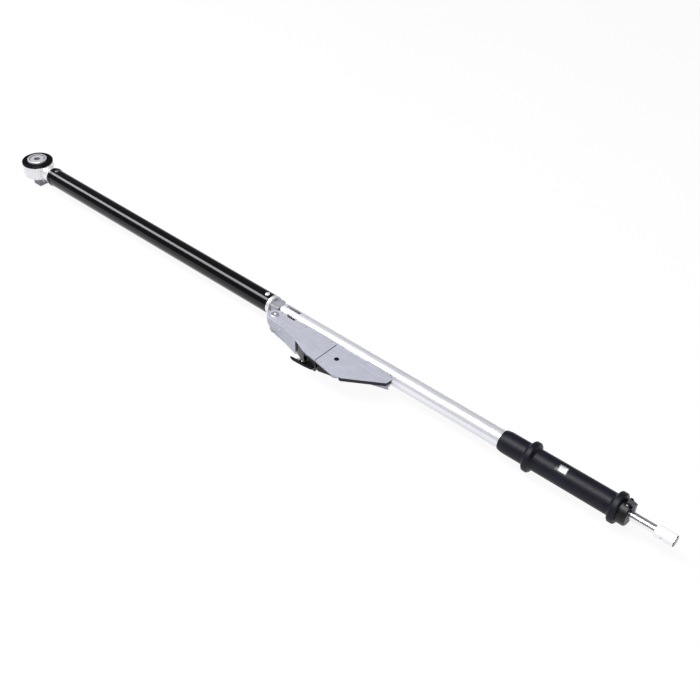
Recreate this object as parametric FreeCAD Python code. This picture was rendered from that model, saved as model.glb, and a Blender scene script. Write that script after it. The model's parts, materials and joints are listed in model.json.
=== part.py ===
import FreeCAD, Part
import math
import os

# A long breaking torque wrench with a ratchet head, in millimetres.
# The drive axis is Z at X = 0. The lever runs along +X to the adjuster at its
# rear end. +Z is the side of the head's cover ring, and the drive square
# points down. Pulling the grip towards -Y turns the drive clockwise seen from
# above, and past the set torque the rear half folds about the fulcrum pin.

VEC = FreeCAD.Vector

# Ratchet head
HEAD_R = 29.7
HEAD_BOTTOM = -16.5
HEAD_TOP = 13.0
RING_TOP = 17.3
HEAD_TAPER = 7.5
CAVITY_R = 20.4
CAVITY_FLOOR = -10.0
JOURNAL_R = 16.0
HUB_R = 18.5
HUB_TOP = 20.6
FIT = 0.05
TEETH = 36
TOOTH_TIP_R = 19.9
TOOTH_ROOT_R = 18.3
SHANK_R = 12.9
FRONT_SHANK_END = 112.0

# Square drive, 3/4 inch
SQUARE_AF = 19.05
SQUARE_BOTTOM = -36.8
SQUARE_CHAMFER = 1.5
SQUARE_TOP = 14.0
CAP_R = 15.0
CAP_TOP = 19.8
BUTTON_R = 6.1
BUTTON_BOTTOM = 15.0
BUTTON_TOP = 19.0
STEM_R = 4.95
BALL_R = 2.75
BALL_X = 7.8
BALL_Z = -27.0
BUTTON_TRAVEL = 2.5
BALL_TRAVEL = 1.1

# Pawl, a curved block on its own pin, in a pocket behind the gear
PAWL_PIN_R = 1.9
PAWL_PIN_AT = (22.2, -10.6)
PAWL_BOTTOM = -7.0
PAWL_TOP = 9.0
POCKET_R = 28.4

# Front lever tube and the steel collar behind it
FRONT_TUBE = (50.0, 652.0)
FRONT_R = 17.1
FRONT_WALL = 4.1
COLLAR = (652.2, 659.6)
COLLAR_R = 17.3
RIVET_X = (64.0, 643.0)
RIVET_R = 3.0
RIVET_HEAD_R = 4.2

# Fulcrum and housing. Both plates lie across Z, above and below the tube.
FULCRUM = (690.0, -31.0)
FULCRUM_R = 5.0
BUSH_R = 7.0
EYE_R = 9.3
PLATE_TOP = 15.5
PLATE_THICK = 3.5
PLATE_IN = PLATE_TOP - PLATE_THICK
BOSS_R = 13.2
LOWER_BOSS_R = 8.4
EYE_CLEAR_R = 10.2
INNER_EDGE = -17.0
SEAM_X = 815.0
SEAM_GAP = 1.8
WALL_END = 757.0
WALL_SCREW = (713.0, 3.0)
SCREW_SHANK_R = 1.6
SCREW_HEAD_R = 2.6
LEVER_HALF = 11.5
HOOK_PIN_AT = (781.5, -70.4)

# Bell crank between the lever's tail and the push rod
CRANK_PIVOT = (838.0, -45.0)
CRANK_PIN_R = 4.0
CRANK_BUSH_R = 5.5
CRANK_BOSS_R = 9.0
CRANK_HALF = 6.0
TAIL_ROLLER = (800.0, -57.6)
TAIL_ROLLER_R = 6.5
CRANK_NOSE = (801.0, -45.7)
CRANK_NOSE_R = 5.0
ROD_NOSE = (838.0, -2.0)
ROD_NOSE_R = 6.0

# Rear tube, spring column and adjuster
REAR_TUBE = (681.0, 1317.8)
REAR_R = 14.3
REAR_BORE = 11.3
ROD_FACE = ROD_NOSE[0] + ROD_NOSE_R + 0.3
ROD_R = 6.0
SEAT_R = 11.0
SPRING_FRONT = 911.0
SPRING_REAR = 1088.0
SPRING_MEAN_R = 8.7
SPRING_WIRE_R = 1.9
SPRING_TURNS = 24
NUT = (1094.0, 1114.0)
SCREW_R = 6.0
SHANK_OUT_R = 6.75
SCREW_COLLAR = (1268.0, 1276.0)
SLEEVE = (1114.0, 1250.0)
SLEEVE_R = 10.8
CARD = (1200.0, 1248.0)
CARD_R = 13.8
CARD_HALF = 7.8
SLOT_HALF = 8.2
BEARING_X = 1276.2
WASHER = 2.0
THRUST_BALL_R = 2.0
THRUST_BALLS = 10
PLUG = (1284.5, 1317.8)

# Grip and end
GRIP = (1122.0, 1318.0)
GRIP_R = 17.3
GRIP_NOSE_R = 16.2
FLANGES = ((1167.0, 1179.0), (1306.0, 1318.0))
FLANGE_R = 24.0
WINDOW = (1214.0, 1234.0)
WINDOW_HALF = 8.6
WINDOW_TURN = 11.0
END_CAP = (1318.2, 1332.0)
END_CAP_R = 18.6
SHANK_END = 1371.0
HEX_END = 1400.0
HEX_AF = 17.0
HEX_PIN_R = 1.6
LOCK_PIVOT = (1326.0, 20.0)
LOCK_PIN_R = 1.5

PARTS = {}


def facing(shape):
    """Turns a shape about the tube's axis, from the top to the window's side."""
    return shape.rotated(VEC(0, 0, 0), VEC(1, 0, 0), WINDOW_TURN)


def cyl_z(x, y, radius, low, high):
    """A round bar along Z."""
    return Part.makeCylinder(radius, high - low, VEC(x, y, low))


def cyl_x(radius, front, rear, y=0.0, z=0.0):
    """A round bar along X."""
    return Part.makeCylinder(radius, rear - front, VEC(front, y, z), VEC(1, 0, 0))


def cyl_y(x, z, radius, low, high):
    """A round bar along Y."""
    return Part.makeCylinder(radius, high - low, VEC(x, low, z), VEC(0, 1, 0))


def block(low, high):
    """A box between two corners."""
    size = [b - a for a, b in zip(low, high)]
    return Part.makeBox(size[0], size[1], size[2], VEC(*low))


def prism(points, low, high):
    """A flat outline in X and Y, extruded along Z."""
    corners = [VEC(x, y, low) for x, y in points]
    outline = Part.makePolygon(corners + [corners[0]])
    return Part.Face(outline).extrude(VEC(0, 0, high - low))


def side_prism(points, low, high):
    """A flat outline in X and Z, extruded along Y."""
    corners = [VEC(x, low, z) for x, z in points]
    outline = Part.makePolygon(corners + [corners[0]])
    return Part.Face(outline).extrude(VEC(0, high - low, 0))


def turned(profile, axis):
    """A profile of (radius, height) points turned round the Z or the X axis."""
    if axis == "Z":
        corners = [VEC(radius, 0, height) for radius, height in profile]
        direction = VEC(0, 0, 1)
    else:
        corners = [VEC(height, radius, 0) for radius, height in profile]
        direction = VEC(1, 0, 0)
    outline = Part.makePolygon(corners + [corners[0]])
    return Part.Face(outline).revolve(VEC(0, 0, 0), direction, 360)


def ring_x(outer, inner, front, rear, edge=0.0):
    """A round sleeve along X, with both outer edges cut back by edge."""
    if edge:
        rim = [(outer - edge, front), (outer, front + edge)]
        rim += [(outer, rear - edge), (outer - edge, rear)]
    else:
        rim = [(outer, front), (outer, rear)]
    return turned([(inner, front)] + rim + [(inner, rear)], "X")


def round_stack(steps):
    """A stack of (radius, front, rear) bars along X, joined into one piece."""
    shape = cyl_x(*steps[0])
    for step in steps[1:]:
        shape = shape.fuse(cyl_x(*step))
    return shape.removeSplitter()


def add(name, shape):
    """Keeps a finished piece under its node's name."""
    PARTS[name] = shape


def cut_from(names, tool):
    """Cuts a shape out of finished pieces."""
    for name in names:
        PARTS[name] = PARTS[name].cut(tool)


def group(shapes):
    """Separate solids that share one node."""
    return Part.makeCompound(shapes)


def on_circle(radius, degrees, centre=(0.0, 0.0)):
    """A point on a circle about a centre in X and Y."""
    angle = math.radians(degrees)
    x = centre[0] + radius * math.cos(angle)
    y = centre[1] + radius * math.sin(angle)
    return (x, y)


def gear_outline(extra):
    """Saw teeth whose steep sides face anticlockwise, grown by extra."""
    pitch = 360.0 / TEETH
    points = []
    for i in range(TEETH):
        points.append(on_circle(TOOTH_TIP_R + extra, i * pitch))
        points.append(on_circle(TOOTH_ROOT_R + extra, i * pitch + 0.1 * pitch))
    return points


def coil(radius, wire_radius, turns, height, base, direction):
    """A round-wire compression spring from base along direction."""
    helix = Part.makeHelix(height / turns, height, radius)
    profile = Part.Wire(
        Part.makeCircle(wire_radius, VEC(radius, 0, 0), VEC(0, 1, 0))
    )
    spring = Part.Wire(helix).makePipeShell([profile], True, True)
    spring.Placement = FreeCAD.Placement(
        base, FreeCAD.Rotation(VEC(0, 0, 1), direction)
    )
    return spring


def ratchet_head():
    bottom = HEAD_BOTTOM
    profile = [(0, bottom), (HEAD_R - HEAD_TAPER, bottom)]
    profile += [(HEAD_R - 1.5, bottom + HEAD_TAPER - 2.5), (HEAD_R, bottom + HEAD_TAPER + 1.0)]
    profile += [(HEAD_R, HEAD_TOP), (0, HEAD_TOP)]
    head = turned(profile, "Z")
    neck = turned([(0, 20), (15.2, 20), (15.2, 40), (17.0, 49.8), (0, 49.8)], "X")
    head = head.fuse(neck.cut(block((0, -20, HEAD_TOP), (34, 20, 20))))
    head = head.fuse(cyl_x(SHANK_R, 45.0, FRONT_SHANK_END))
    pocket = cyl_z(0, 0, POCKET_R, PAWL_BOTTOM - 0.3, RING_TOP)
    pocket = pocket.common(block((8, -16.5, -30), (40, 13.5, 30)))
    head = head.cut(cyl_z(0, 0, CAVITY_R, CAVITY_FLOOR, RING_TOP))
    head = head.cut(cyl_z(0, 0, JOURNAL_R + FIT, -30, 0))
    head = head.cut(pocket)
    head = head.cut(cyl_z(*PAWL_PIN_AT, PAWL_PIN_R, -13.5, 0))
    head = head.cut(cyl_z(RIVET_X[0], 0, RIVET_R, -20, 20))
    add("ratchet_head", head.removeSplitter())


def cover_ring():
    profile = [(HUB_R + FIT, HEAD_TOP), (HEAD_R, HEAD_TOP), (HEAD_R, RING_TOP - 1.0)]
    profile += [(HEAD_R - 1.0, RING_TOP), (HUB_R + FIT, RING_TOP)]
    ring = turned(profile, "Z")
    add("cover_ring", ring.cut(cyl_z(*PAWL_PIN_AT, PAWL_PIN_R, 0, HEAD_TOP + 2.0)))


def ratchet_drive():
    low = CAVITY_FLOOR + 0.2
    high = HEAD_TOP - 0.3
    gear = prism(gear_outline(0.0), low, high)
    gear = gear.fuse(cyl_z(0, 0, JOURNAL_R, HEAD_BOTTOM - 0.8, low))
    profile = [(0, high), (HUB_R, high), (HUB_R, HUB_TOP - 0.8)]
    profile += [(HUB_R - 0.8, HUB_TOP), (0, HUB_TOP)]
    gear = gear.fuse(turned(profile, "Z"))
    half = SQUARE_AF / 2 + 0.03
    gear = gear.cut(block((-half, -half, -40), (half, half, 40)))
    gear = gear.cut(cyl_z(0, 0, CAP_R + 0.1, SQUARE_TOP, 30))
    groove_low = CAP_TOP - 1.6
    gear = gear.cut(cyl_z(0, 0, CAP_R + 1.2, groove_low, groove_low + 1.2))
    add("ratchet_gear", gear.removeSplitter())

    half = SQUARE_AF / 2
    square = block((-half, -half, SQUARE_BOTTOM), (half, half, SQUARE_TOP))
    ends = [e for e in square.Edges if e.BoundBox.ZMax < SQUARE_BOTTOM + 0.01]
    square = square.makeChamfer(SQUARE_CHAMFER, ends)
    square = square.cut(cyl_z(0, 0, STEM_R + FIT, BALL_Z - 6.5, 40))
    square = square.cut(cyl_z(0, 0, BUTTON_R + 0.2, 6.0, 40))
    hole = cyl_x(BALL_R + FIT, 0, 12, 0, BALL_Z)
    add("square_drive", square.cut(hole))

    cap = cyl_z(0, 0, CAP_R, SQUARE_TOP, CAP_TOP)
    cap = cap.cut(cyl_z(0, 0, CAP_R + 2, groove_low - 0.1, 30).cut(cyl_z(0, 0, 13.4, 0, 30)))
    add("hub_cap", cap.cut(cyl_z(0, 0, BUTTON_R + 0.1, 0, 30)))

    clip = cyl_z(0, 0, CAP_R + 1.0, groove_low + 0.1, groove_low + 1.1)
    clip = clip.cut(cyl_z(0, 0, 13.5, 0, 30)).cut(block((-2, 8, 0), (2, 20, 30)))
    add("hub_clip", clip)


def release_parts():
    """The button's stem holds the ball out, and its groove lets the ball in."""
    groove = BALL_Z
    profile = [(0, BALL_Z - 3.5), (STEM_R - 1, BALL_Z - 3.5), (STEM_R, BALL_Z - 2.5)]
    profile += [(STEM_R, groove - 0.35), (3.8, groove + 2.2), (3.8, groove + 5.5)]
    profile += [(STEM_R, groove + 6.7), (STEM_R, 5.0), (3.2, 5.0), (3.2, BUTTON_BOTTOM)]
    profile += [(BUTTON_R, BUTTON_BOTTOM), (BUTTON_R, BUTTON_TOP - 1.0)]
    profile += [(BUTTON_R - 1.0, BUTTON_TOP), (3.5, BUTTON_TOP - 0.6), (0, BUTTON_TOP - 0.9)]
    add("release_button", turned(profile, "Z"))
    add("button_spring", coil(4.6, 0.6, 4, 7.0, VEC(0, 0, 7.0), VEC(0, 0, 1)))
    add("retaining_ball", Part.makeSphere(BALL_R, VEC(BALL_X, 0, BALL_Z)))


def pawl_parts():
    clear = 0.12
    outline = [on_circle(17.0, angle) for angle in range(-24, 25, 6)]
    outline += [on_circle(25.3, angle) for angle in range(24, -25, -6)]
    pawl = prism(outline, PAWL_BOTTOM, PAWL_TOP)
    pawl = pawl.fuse(cyl_z(*PAWL_PIN_AT, 3.6, PAWL_BOTTOM, PAWL_TOP))
    pawl = pawl.cut(prism(gear_outline(clear), -20, 20))
    heel = prism([on_circle(r, a) for r, a in ((0, 0), (22.4, -60), (22.4, -8))], -20, 20)
    pawl = pawl.cut(heel.cut(cyl_z(*PAWL_PIN_AT, 3.6, -20, 20)))
    pawl = pawl.cut(cyl_z(0, 0, CAVITY_R - 0.4, -20, 20).common(block((0, -30, -20), (30, -1, 20))))
    pawl = pawl.cut(cyl_z(*PAWL_PIN_AT, PAWL_PIN_R + FIT, -20, 20))
    add("pawl", pawl.removeSplitter())
    add("pawl_pin", cyl_z(*PAWL_PIN_AT, PAWL_PIN_R, -13.0, HEAD_TOP + 1.5))
    add("pawl_spring", coil(1.1, 0.3, 4, 1.7, VEC(25.85, 4.5, 1.0), VEC(1, 0, 0)))


def front_lever():
    front, rear = FRONT_TUBE
    bore = FRONT_R - FRONT_WALL
    tube = ring_x(FRONT_R, bore, front, rear, 0.8)
    rivets = []
    for x in RIVET_X:
        tube = tube.cut(cyl_z(x, 0, RIVET_R, -20, 20))
        shaft = cyl_z(x, 0, RIVET_R, -FRONT_R - 1.0, FRONT_R + 1.0)
        skin = FRONT_R + 1.3
        heads = cyl_z(x, 0, RIVET_HEAD_R, -skin, skin).cut(cyl_x(FRONT_R, x - 9, x + 9))
        rivets.append(shaft.fuse(heads).removeSplitter())
    add("front_tube", tube)
    add("tube_rivets", group(rivets))
    add("front_ferrule", ring_x(18.2, FRONT_R, 53.0, 58.0, 0.8))
    add("rear_collar", ring_x(COLLAR_R, SHANK_R + 0.05, *COLLAR, 1.0))


def lever_tail():
    """The forged tail: a shank in the tube, the fulcrum eye and the long tail."""
    px, py = FULCRUM
    shank = cyl_x(SHANK_R, 596.0, COLLAR[1] + 0.4)
    shank = shank.cut(cyl_z(RIVET_X[1], 0, RIVET_R, -20, 20))
    face = COLLAR[1] + 0.1
    neck = [(face, 11.0), (674.0, 11.0), (678.6, 6.0), (678.6, -17.0)]
    neck += [(px, py + EYE_R), (px - EYE_R, py), (672.0, -20.0), (face, -11.0)]
    tail = [(px, py + EYE_R), (700.0, -22.5), (722.0, -25.5), (757.0, -36.0)]
    tail += [(786.0, -50.5), (812.0, -53.5), (812.0, -67.4), (785.0, -63.9)]
    tail += [(764.0, -54.8), (758.5, -48.6), (707.0, -35.2), (698.0, -35.4), (px, py)]
    round_neck = cyl_x(15.5, 640, 681).fuse(block((640, -60, -20), (720, -12, 20)))
    shape = prism(neck, -LEVER_HALF, LEVER_HALF).common(round_neck)
    shape = shape.fuse(prism(tail, -LEVER_HALF, LEVER_HALF))
    shape = shape.fuse(cyl_z(px, py, EYE_R, -LEVER_HALF, LEVER_HALF))
    shape = shape.fuse(shank)
    shape = shape.fuse(block((672.0, -7.0, -5.5), (712.0, 4.5, 5.5)))
    shape = shape.cut(cyl_z(px, py, BUSH_R, -20, 20))
    half = CRANK_HALF + 0.3
    shape = shape.cut(block((786.0, -65.0, -half), (820.0, -40.0, half)))
    shape = shape.cut(cyl_z(*TAIL_ROLLER, 2.5, -20, 20))
    add("lever_tail", shape.removeSplitter())

    bush = cyl_z(px, py, BUSH_R, -LEVER_HALF, LEVER_HALF)
    add("fulcrum_bush", bush.cut(cyl_z(px, py, FULCRUM_R + FIT, -20, 20)))
    roller = cyl_z(*TAIL_ROLLER, TAIL_ROLLER_R, -CRANK_HALF, CRANK_HALF)
    add("tail_roller", roller.cut(cyl_z(*TAIL_ROLLER, 2.55, -20, 20)))
    add("tail_roller_pin", cyl_z(*TAIL_ROLLER, 2.5, -LEVER_HALF, LEVER_HALF))

    hook = [(809.0, -67.1), (809.0, -72.0), (792.0, -74.4), (772.0, -75.4)]
    hook += [(765.0, -73.4), (772.0, -72.2), (788.0, -71.0), (793.0, -65.2)]
    hook = prism(hook, -7.0, -2.5)
    hook = hook.fuse(cyl_z(*HOOK_PIN_AT, 3.9, -7.0, -2.5)).removeSplitter()
    pin = cyl_z(*HOOK_PIN_AT, 2.4, -7.6, -1.2)
    add("tail_hook", hook.cut(PARTS["lever_tail"]).cut(pin))
    add("hook_spring_pin", pin)


def plate_outline(boss_radius):
    """A plate's lower edge, from behind the fulcrum forward round its boss."""
    points = [(785.0, -64.6), (762.5, -55.3), (726.0, -45.2)]
    points += [on_circle(boss_radius, angle, FULCRUM) for angle in range(-75, -271, -15)]
    return points


def housing_plates():
    """The top plate and the rear cover meet at the seam, and one plate closes the bottom."""
    front_seam = SEAM_X - SEAM_GAP / 2
    rear_seam = SEAM_X + SEAM_GAP / 2
    front = [(front_seam, -69.2)] + plate_outline(BOSS_R)
    front += [(704.0, INNER_EDGE), (front_seam, INNER_EDGE)]
    relief = block((695.0, INNER_EDGE - 3.6, 0), (724.0, INNER_EDGE + 1, 30))
    add("top_plate", prism(front, PLATE_IN, PLATE_TOP).cut(relief))

    rear = [(rear_seam, -69.4), (856.0, -76.2), (872.0, -73.4), (930.0, -35.0)]
    rear += [(931.5, -23.5), (922.0, INNER_EDGE), (rear_seam, INNER_EDGE)]
    edge = [(922.0, INNER_EDGE), (931.5, -23.5), (930.0, -35.0), (872.0, -73.4), (868.0, -74.1)]
    skirt = [(868.6, -72.4), (871.5, -71.8), (928.6, -34.2), (930.0, -24.0), (920.6, INNER_EDGE)]
    lip = [(870.0, -67.0), (872.0, -66.6), (923.0, -32.0), (924.5, -21.0)]
    trim = prism(lip + edge, PLATE_IN - 3.2, PLATE_IN)
    trim = trim.fuse(prism(skirt + edge, PLATE_IN, PLATE_TOP - 0.5)).removeSplitter()
    add("cover_trim", trim)
    add("rear_cover", prism(rear, PLATE_IN, PLATE_TOP).cut(trim))

    lower = [(824.0, -43.0), (770.0, -43.0), (WALL_END, -53.6)]
    lower += plate_outline(LOWER_BOSS_R)[2:]
    lower += [(704.0, INNER_EDGE), (922.0, INNER_EDGE), (862.0, -38.0)]
    bottom = prism(lower, -PLATE_TOP, -PLATE_IN)
    boss = cyl_z(*CRANK_PIVOT, CRANK_BOSS_R + 1.0, -PLATE_TOP, -PLATE_IN)
    add("bottom_plate", bottom.fuse(boss).removeSplitter())
    cut_from(("top_plate", "bottom_plate"), cyl_z(*FULCRUM, FULCRUM_R + 0.02, -30, 30))
    cut_from(("rear_cover", "bottom_plate"), cyl_z(*CRANK_PIVOT, CRANK_PIN_R + 0.02, -30, 30))


def housing_inside():
    """The wall round the fulcrum boss, the spines on the tube and the rear spacer."""
    wall = [on_circle(BOSS_R - 0.2, angle, FULCRUM) for angle in range(-165, -74, 15)]
    wall += [(726.0, -45.2), (WALL_END, -53.6), (WALL_END, -49.4), (708.5, -36.9), (699.0, -37.6)]
    wall += [on_circle(EYE_CLEAR_R, angle, FULCRUM) for angle in range(-60, -166, -15)]
    below = [(660.0, 12.0), (678.0, 5.0), (718.0, -PLATE_IN), (718.0, -20.0), (660.0, -20.0)]
    add("side_wall", prism(wall, -PLATE_IN, PLATE_IN).cut(side_prism(below, -90.0, 0.0)))

    spines = []
    for low, high in ((735.0, 822.0), (872.0, 920.0)):
        spine = block((low, -22.5, -PLATE_IN), (high, -11.0, PLATE_IN))
        spines.append(spine.cut(cyl_x(REAR_R, low - 5, high + 5)))
    add("tube_spines", group(spines))

    foot = [(819.0, -68.6), (853.0, -74.6), (853.0, -66.0), (819.0, -59.0)]
    below = [(800.0, -5.0), (822.0, -4.0), (856.0, 10.0), (856.0, -30.0), (800.0, -30.0)]
    spacer = prism(foot, -PLATE_IN, PLATE_IN)
    add("rear_spacer", spacer.cut(side_prism(below, -120.0, 0.0)))


def housing_screws():
    """Screws through the plates, a short one in the spacer, and one in the side wall."""
    places = [(722.0, -41.9, True), (751.0, -19.7, True), (806.0, -19.7, True)]
    places += [(828.0, -66.0, False), (878.0, -20.5, True), (912.0, -19.8, True)]
    screws = []
    for x, y, through in places:
        low = -PLATE_TOP if through else PLATE_IN - 6.0
        screw = cyl_z(x, y, SCREW_SHANK_R, low + 0.4, PLATE_TOP - 0.4)
        screws.append(screw.fuse(cyl_z(x, y, SCREW_HEAD_R, PLATE_TOP - 1.8, PLATE_TOP - 0.3)))
        sink = cyl_z(x, y, SCREW_HEAD_R, PLATE_TOP - 1.8, PLATE_TOP + 1.0)
        cut_from(("top_plate", "rear_cover"), sink)
    x, z = WALL_SCREW
    screw = cyl_y(x, z, SCREW_SHANK_R, -45.0, -40.5)
    screws.append(screw.fuse(cyl_y(x, z, SCREW_HEAD_R, -45.2, -43.8)))
    screws = [screw.removeSplitter() for screw in screws]
    add("housing_screws", group(screws))
    for screw in screws:
        cut_from(("top_plate", "rear_cover", "bottom_plate"), screw)
        cut_from(("side_wall", "tube_spines", "rear_spacer"), screw)


def fulcrum_parts():
    px, py = FULCRUM
    pin = cyl_z(px, py, FULCRUM_R, -PLATE_TOP - 2.6, PLATE_TOP + 0.2)
    pin = pin.fuse(cyl_z(px, py, 6.6, PLATE_TOP, PLATE_TOP + 2.0))
    neck = cyl_z(px, py, 8, -PLATE_TOP - 1.6, -PLATE_TOP - 0.4)
    pin = pin.cut(neck.cut(cyl_z(px, py, FULCRUM_R - 0.9, -30, 0)))
    add("fulcrum_pin", pin.removeSplitter())
    clip = cyl_z(px, py, 7.2, -PLATE_TOP - 1.5, -PLATE_TOP - 0.5)
    clip = clip.cut(cyl_z(px, py, FULCRUM_R - 0.8, -30, 0))
    add("fulcrum_clip", clip.cut(block((px - 2, py, -30), (px + 2, py + 9, 0))))


def crank_parts():
    bx, by = CRANK_PIVOT
    half = CRANK_HALF
    nx, ny = CRANK_NOSE
    ex, ey = ROD_NOSE
    crank = cyl_z(bx, by, CRANK_BOSS_R, -half, half)
    crank = crank.fuse(cyl_z(nx, ny, CRANK_NOSE_R, -half, half))
    arm = [(nx + 0.4, ny - 4.9), (bx - 2.0, by - 8.5), (bx - 2.0, by + 8.5), (nx - 0.4, ny + 4.9)]
    crank = crank.fuse(prism(arm, -half, half))
    arm = [(bx - 8.0, by), (bx + 8.0, by), (ex + 4.2, ey), (ex - 4.2, ey)]
    crank = crank.fuse(prism(arm, -half, half))
    crank = crank.fuse(cyl_z(ex, ey, 4.2, -half, half))
    crank = crank.cut(cyl_z(ex, ey, ROD_NOSE_R + 1.2, -2.7, 2.7))
    crank = crank.cut(cyl_z(ex, ey, 2.0, -20, 20))
    crank = crank.cut(cyl_z(bx, by, CRANK_BUSH_R, -20, 20))
    add("bell_crank", crank.removeSplitter())
    bush = cyl_z(bx, by, CRANK_BUSH_R, -half, half)
    add("crank_bush", bush.cut(cyl_z(bx, by, CRANK_PIN_R + FIT, -20, 20)))
    roller = cyl_z(ex, ey, ROD_NOSE_R, -2.5, 2.5)
    add("rod_roller", roller.cut(cyl_z(ex, ey, 2.05, -20, 20)))
    add("rod_roller_pin", cyl_z(ex, ey, 2.0, -half, half))
    pin = cyl_z(bx, by, CRANK_PIN_R, -PLATE_TOP - 0.5, PLATE_TOP + 0.6)
    add("crank_pin", pin)
    washers = []
    for side in (-1, 1):
        low, high = sorted((side * (half + 0.2), side * (PLATE_IN - 0.1)))
        washer = cyl_z(bx, by, 7.5, low, high)
        washers.append(washer.cut(cyl_z(bx, by, CRANK_PIN_R + 0.02, -20, 20)))
    add("crank_washers", group(washers))


def spring_column():
    rod = round_stack(
        [(10.0, ROD_FACE, ROD_FACE + 5.0), (ROD_R, ROD_FACE + 4.0, SPRING_FRONT - 4.0)]
    )
    add("push_rod", rod)
    seat = round_stack(
        [(SEAT_R, SPRING_FRONT - 5.0, SPRING_FRONT), (6.2, SPRING_FRONT - 1.0, SPRING_FRONT + 9.0)]
    )
    add("front_spring_seat", seat.cut(cyl_x(ROD_R, 880, SPRING_FRONT - 4.0)))
    add("rod_guide", ring_x(REAR_BORE, ROD_R + FIT, 874.0, 888.0))
    gap = SPRING_WIRE_R + 0.15
    length = SPRING_REAR - SPRING_FRONT - 2 * gap
    base = VEC(SPRING_FRONT + gap, 0, 0)
    add("main_spring", coil(SPRING_MEAN_R, SPRING_WIRE_R, SPRING_TURNS, length, base, VEC(1, 0, 0)))
    add("rear_spring_seat", ring_x(SEAT_R, SCREW_R + 0.2, SPRING_REAR, NUT[0]))
    add("adjuster_nut", ring_x(REAR_BORE - 0.1, SCREW_R + FIT, *NUT))
    add("scale_sleeve", ring_x(SLEEVE_R, 9.3, *SLEEVE))
    card = block((CARD[0], -CARD_HALF, 5.0), (CARD[1], CARD_HALF, 20.0))
    add("scale_card", facing(card.common(ring_x(CARD_R, SLEEVE_R, *CARD))))


def adjuster():
    steps = [(SCREW_R, 1084.0, SCREW_COLLAR[0] + 1), (9.0, *SCREW_COLLAR)]
    steps += [(SHANK_OUT_R, SCREW_COLLAR[1] - 1, SHANK_END), (5.0, SHANK_END - 1, HEX_END - 8.0)]
    pin_x = SHANK_END + 11.0
    hole = cyl_y(pin_x, 0, HEX_PIN_R, -9.0, 9.0)
    add("adjuster_screw", round_stack(steps).cut(hole))
    corner = HEX_AF / math.sqrt(3)
    profile = [VEC(SHANK_END, *on_circle(corner, 60 * i + 30)) for i in range(6)]
    hexagon = Part.Face(Part.makePolygon(profile + [profile[0]]))
    hexagon = hexagon.extrude(VEC(HEX_END - SHANK_END, 0, 0))
    dome = [(0, SHANK_END), (corner - 1.2, SHANK_END), (corner + 0.3, SHANK_END + 1.2)]
    dome += [(corner + 0.3, HEX_END - 2.2), (corner - 2.0, HEX_END), (0, HEX_END)]
    hexagon = hexagon.common(turned(dome, "X"))
    hexagon = hexagon.cut(cyl_x(5.0, SHANK_END - 1, HEX_END - 8.0)).cut(hole)
    add("adjuster_hex", hexagon)
    add("hex_pin", cyl_y(pin_x, 0, HEX_PIN_R, -8.2, 8.2))


def thrust_bearing():
    """Ten balls between two washers, behind the adjuster's collar."""
    bore = SHANK_OUT_R + 0.1
    balls_x = BEARING_X + WASHER + THRUST_BALL_R
    washers = []
    for front in (BEARING_X, balls_x + THRUST_BALL_R):
        washers.append(ring_x(SEAT_R, bore, front, front + WASHER))
    add("thrust_washers", group(washers))
    balls = []
    for i in range(THRUST_BALLS):
        y, z = on_circle((SEAT_R + bore) / 2, 360.0 * i / THRUST_BALLS)
        balls.append(Part.makeSphere(THRUST_BALL_R - 0.01, VEC(balls_x, y, z)))
    add("thrust_balls", group(balls))


def rear_tube():
    tube = ring_x(REAR_R, REAR_BORE, *REAR_TUBE, 0.8)
    tube = tube.cut(block((688.5, -1.6, 6.0), (718.0, 4.4, 20.0)))
    tube = tube.cut(block((699.0, -16.0, 3.0), (722.0, -9.0, 10.5)))
    tube = tube.cut(block((828.0, -20.0, -7.6), (868.0, -4.0, 7.6)))
    slot = block((CARD[0] - 13.0, -SLOT_HALF, 5.0), (CARD[1] + 13.0, SLOT_HALF, 20.0))
    tube = tube.cut(facing(slot))
    plug = ring_x(REAR_BORE, SHANK_OUT_R + FIT, *PLUG)
    screws = []
    for angle in (0, 120, 240):
        y, z = on_circle(1.0, angle)
        screw = Part.makeCylinder(2.0, REAR_R - 9.2, VEC(1300, 9.0 * y, 9.0 * z), VEC(0, y, z))
        screws.append(screw)
        tube = tube.cut(screw)
        plug = plug.cut(screw)
    add("rear_tube", tube)
    add("end_plug", plug)
    add("plug_screws", group(screws))


def grip():
    front, rear = GRIP
    first, second = FLANGES
    inner = REAR_R
    profile = [(inner, front), (GRIP_NOSE_R - 0.8, front), (GRIP_NOSE_R, front + 2.0)]
    profile += [(GRIP_R, front + 9.0), (GRIP_R, first[0] - 2.0), (GRIP_R + 2.0, first[0])]
    profile += [(FLANGE_R - 2.0, first[0] + 1.0), (FLANGE_R, first[0] + 3.0)]
    profile += [(FLANGE_R, first[1] - 3.0), (FLANGE_R - 2.0, first[1] - 1.0)]
    profile += [(GRIP_R + 2.0, first[1]), (GRIP_R, first[1] + 2.0)]
    profile += [(GRIP_R, second[0] - 2.0), (GRIP_R + 2.0, second[0])]
    profile += [(FLANGE_R - 2.0, second[0] + 1.0), (FLANGE_R, second[0] + 3.0)]
    profile += [(FLANGE_R, second[1] - 2.0), (FLANGE_R - 2.0, rear), (inner, rear)]
    body = turned(profile, "X")
    low, high = WINDOW
    opening = block((low, -WINDOW_HALF, 5.0), (high, WINDOW_HALF, 30.0))
    add("grip", body.cut(facing(opening)))
    lens = opening.common(ring_x(GRIP_R - 0.6, REAR_R + 0.4, low - 5, high + 5))
    add("scale_window", facing(lens))


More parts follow.
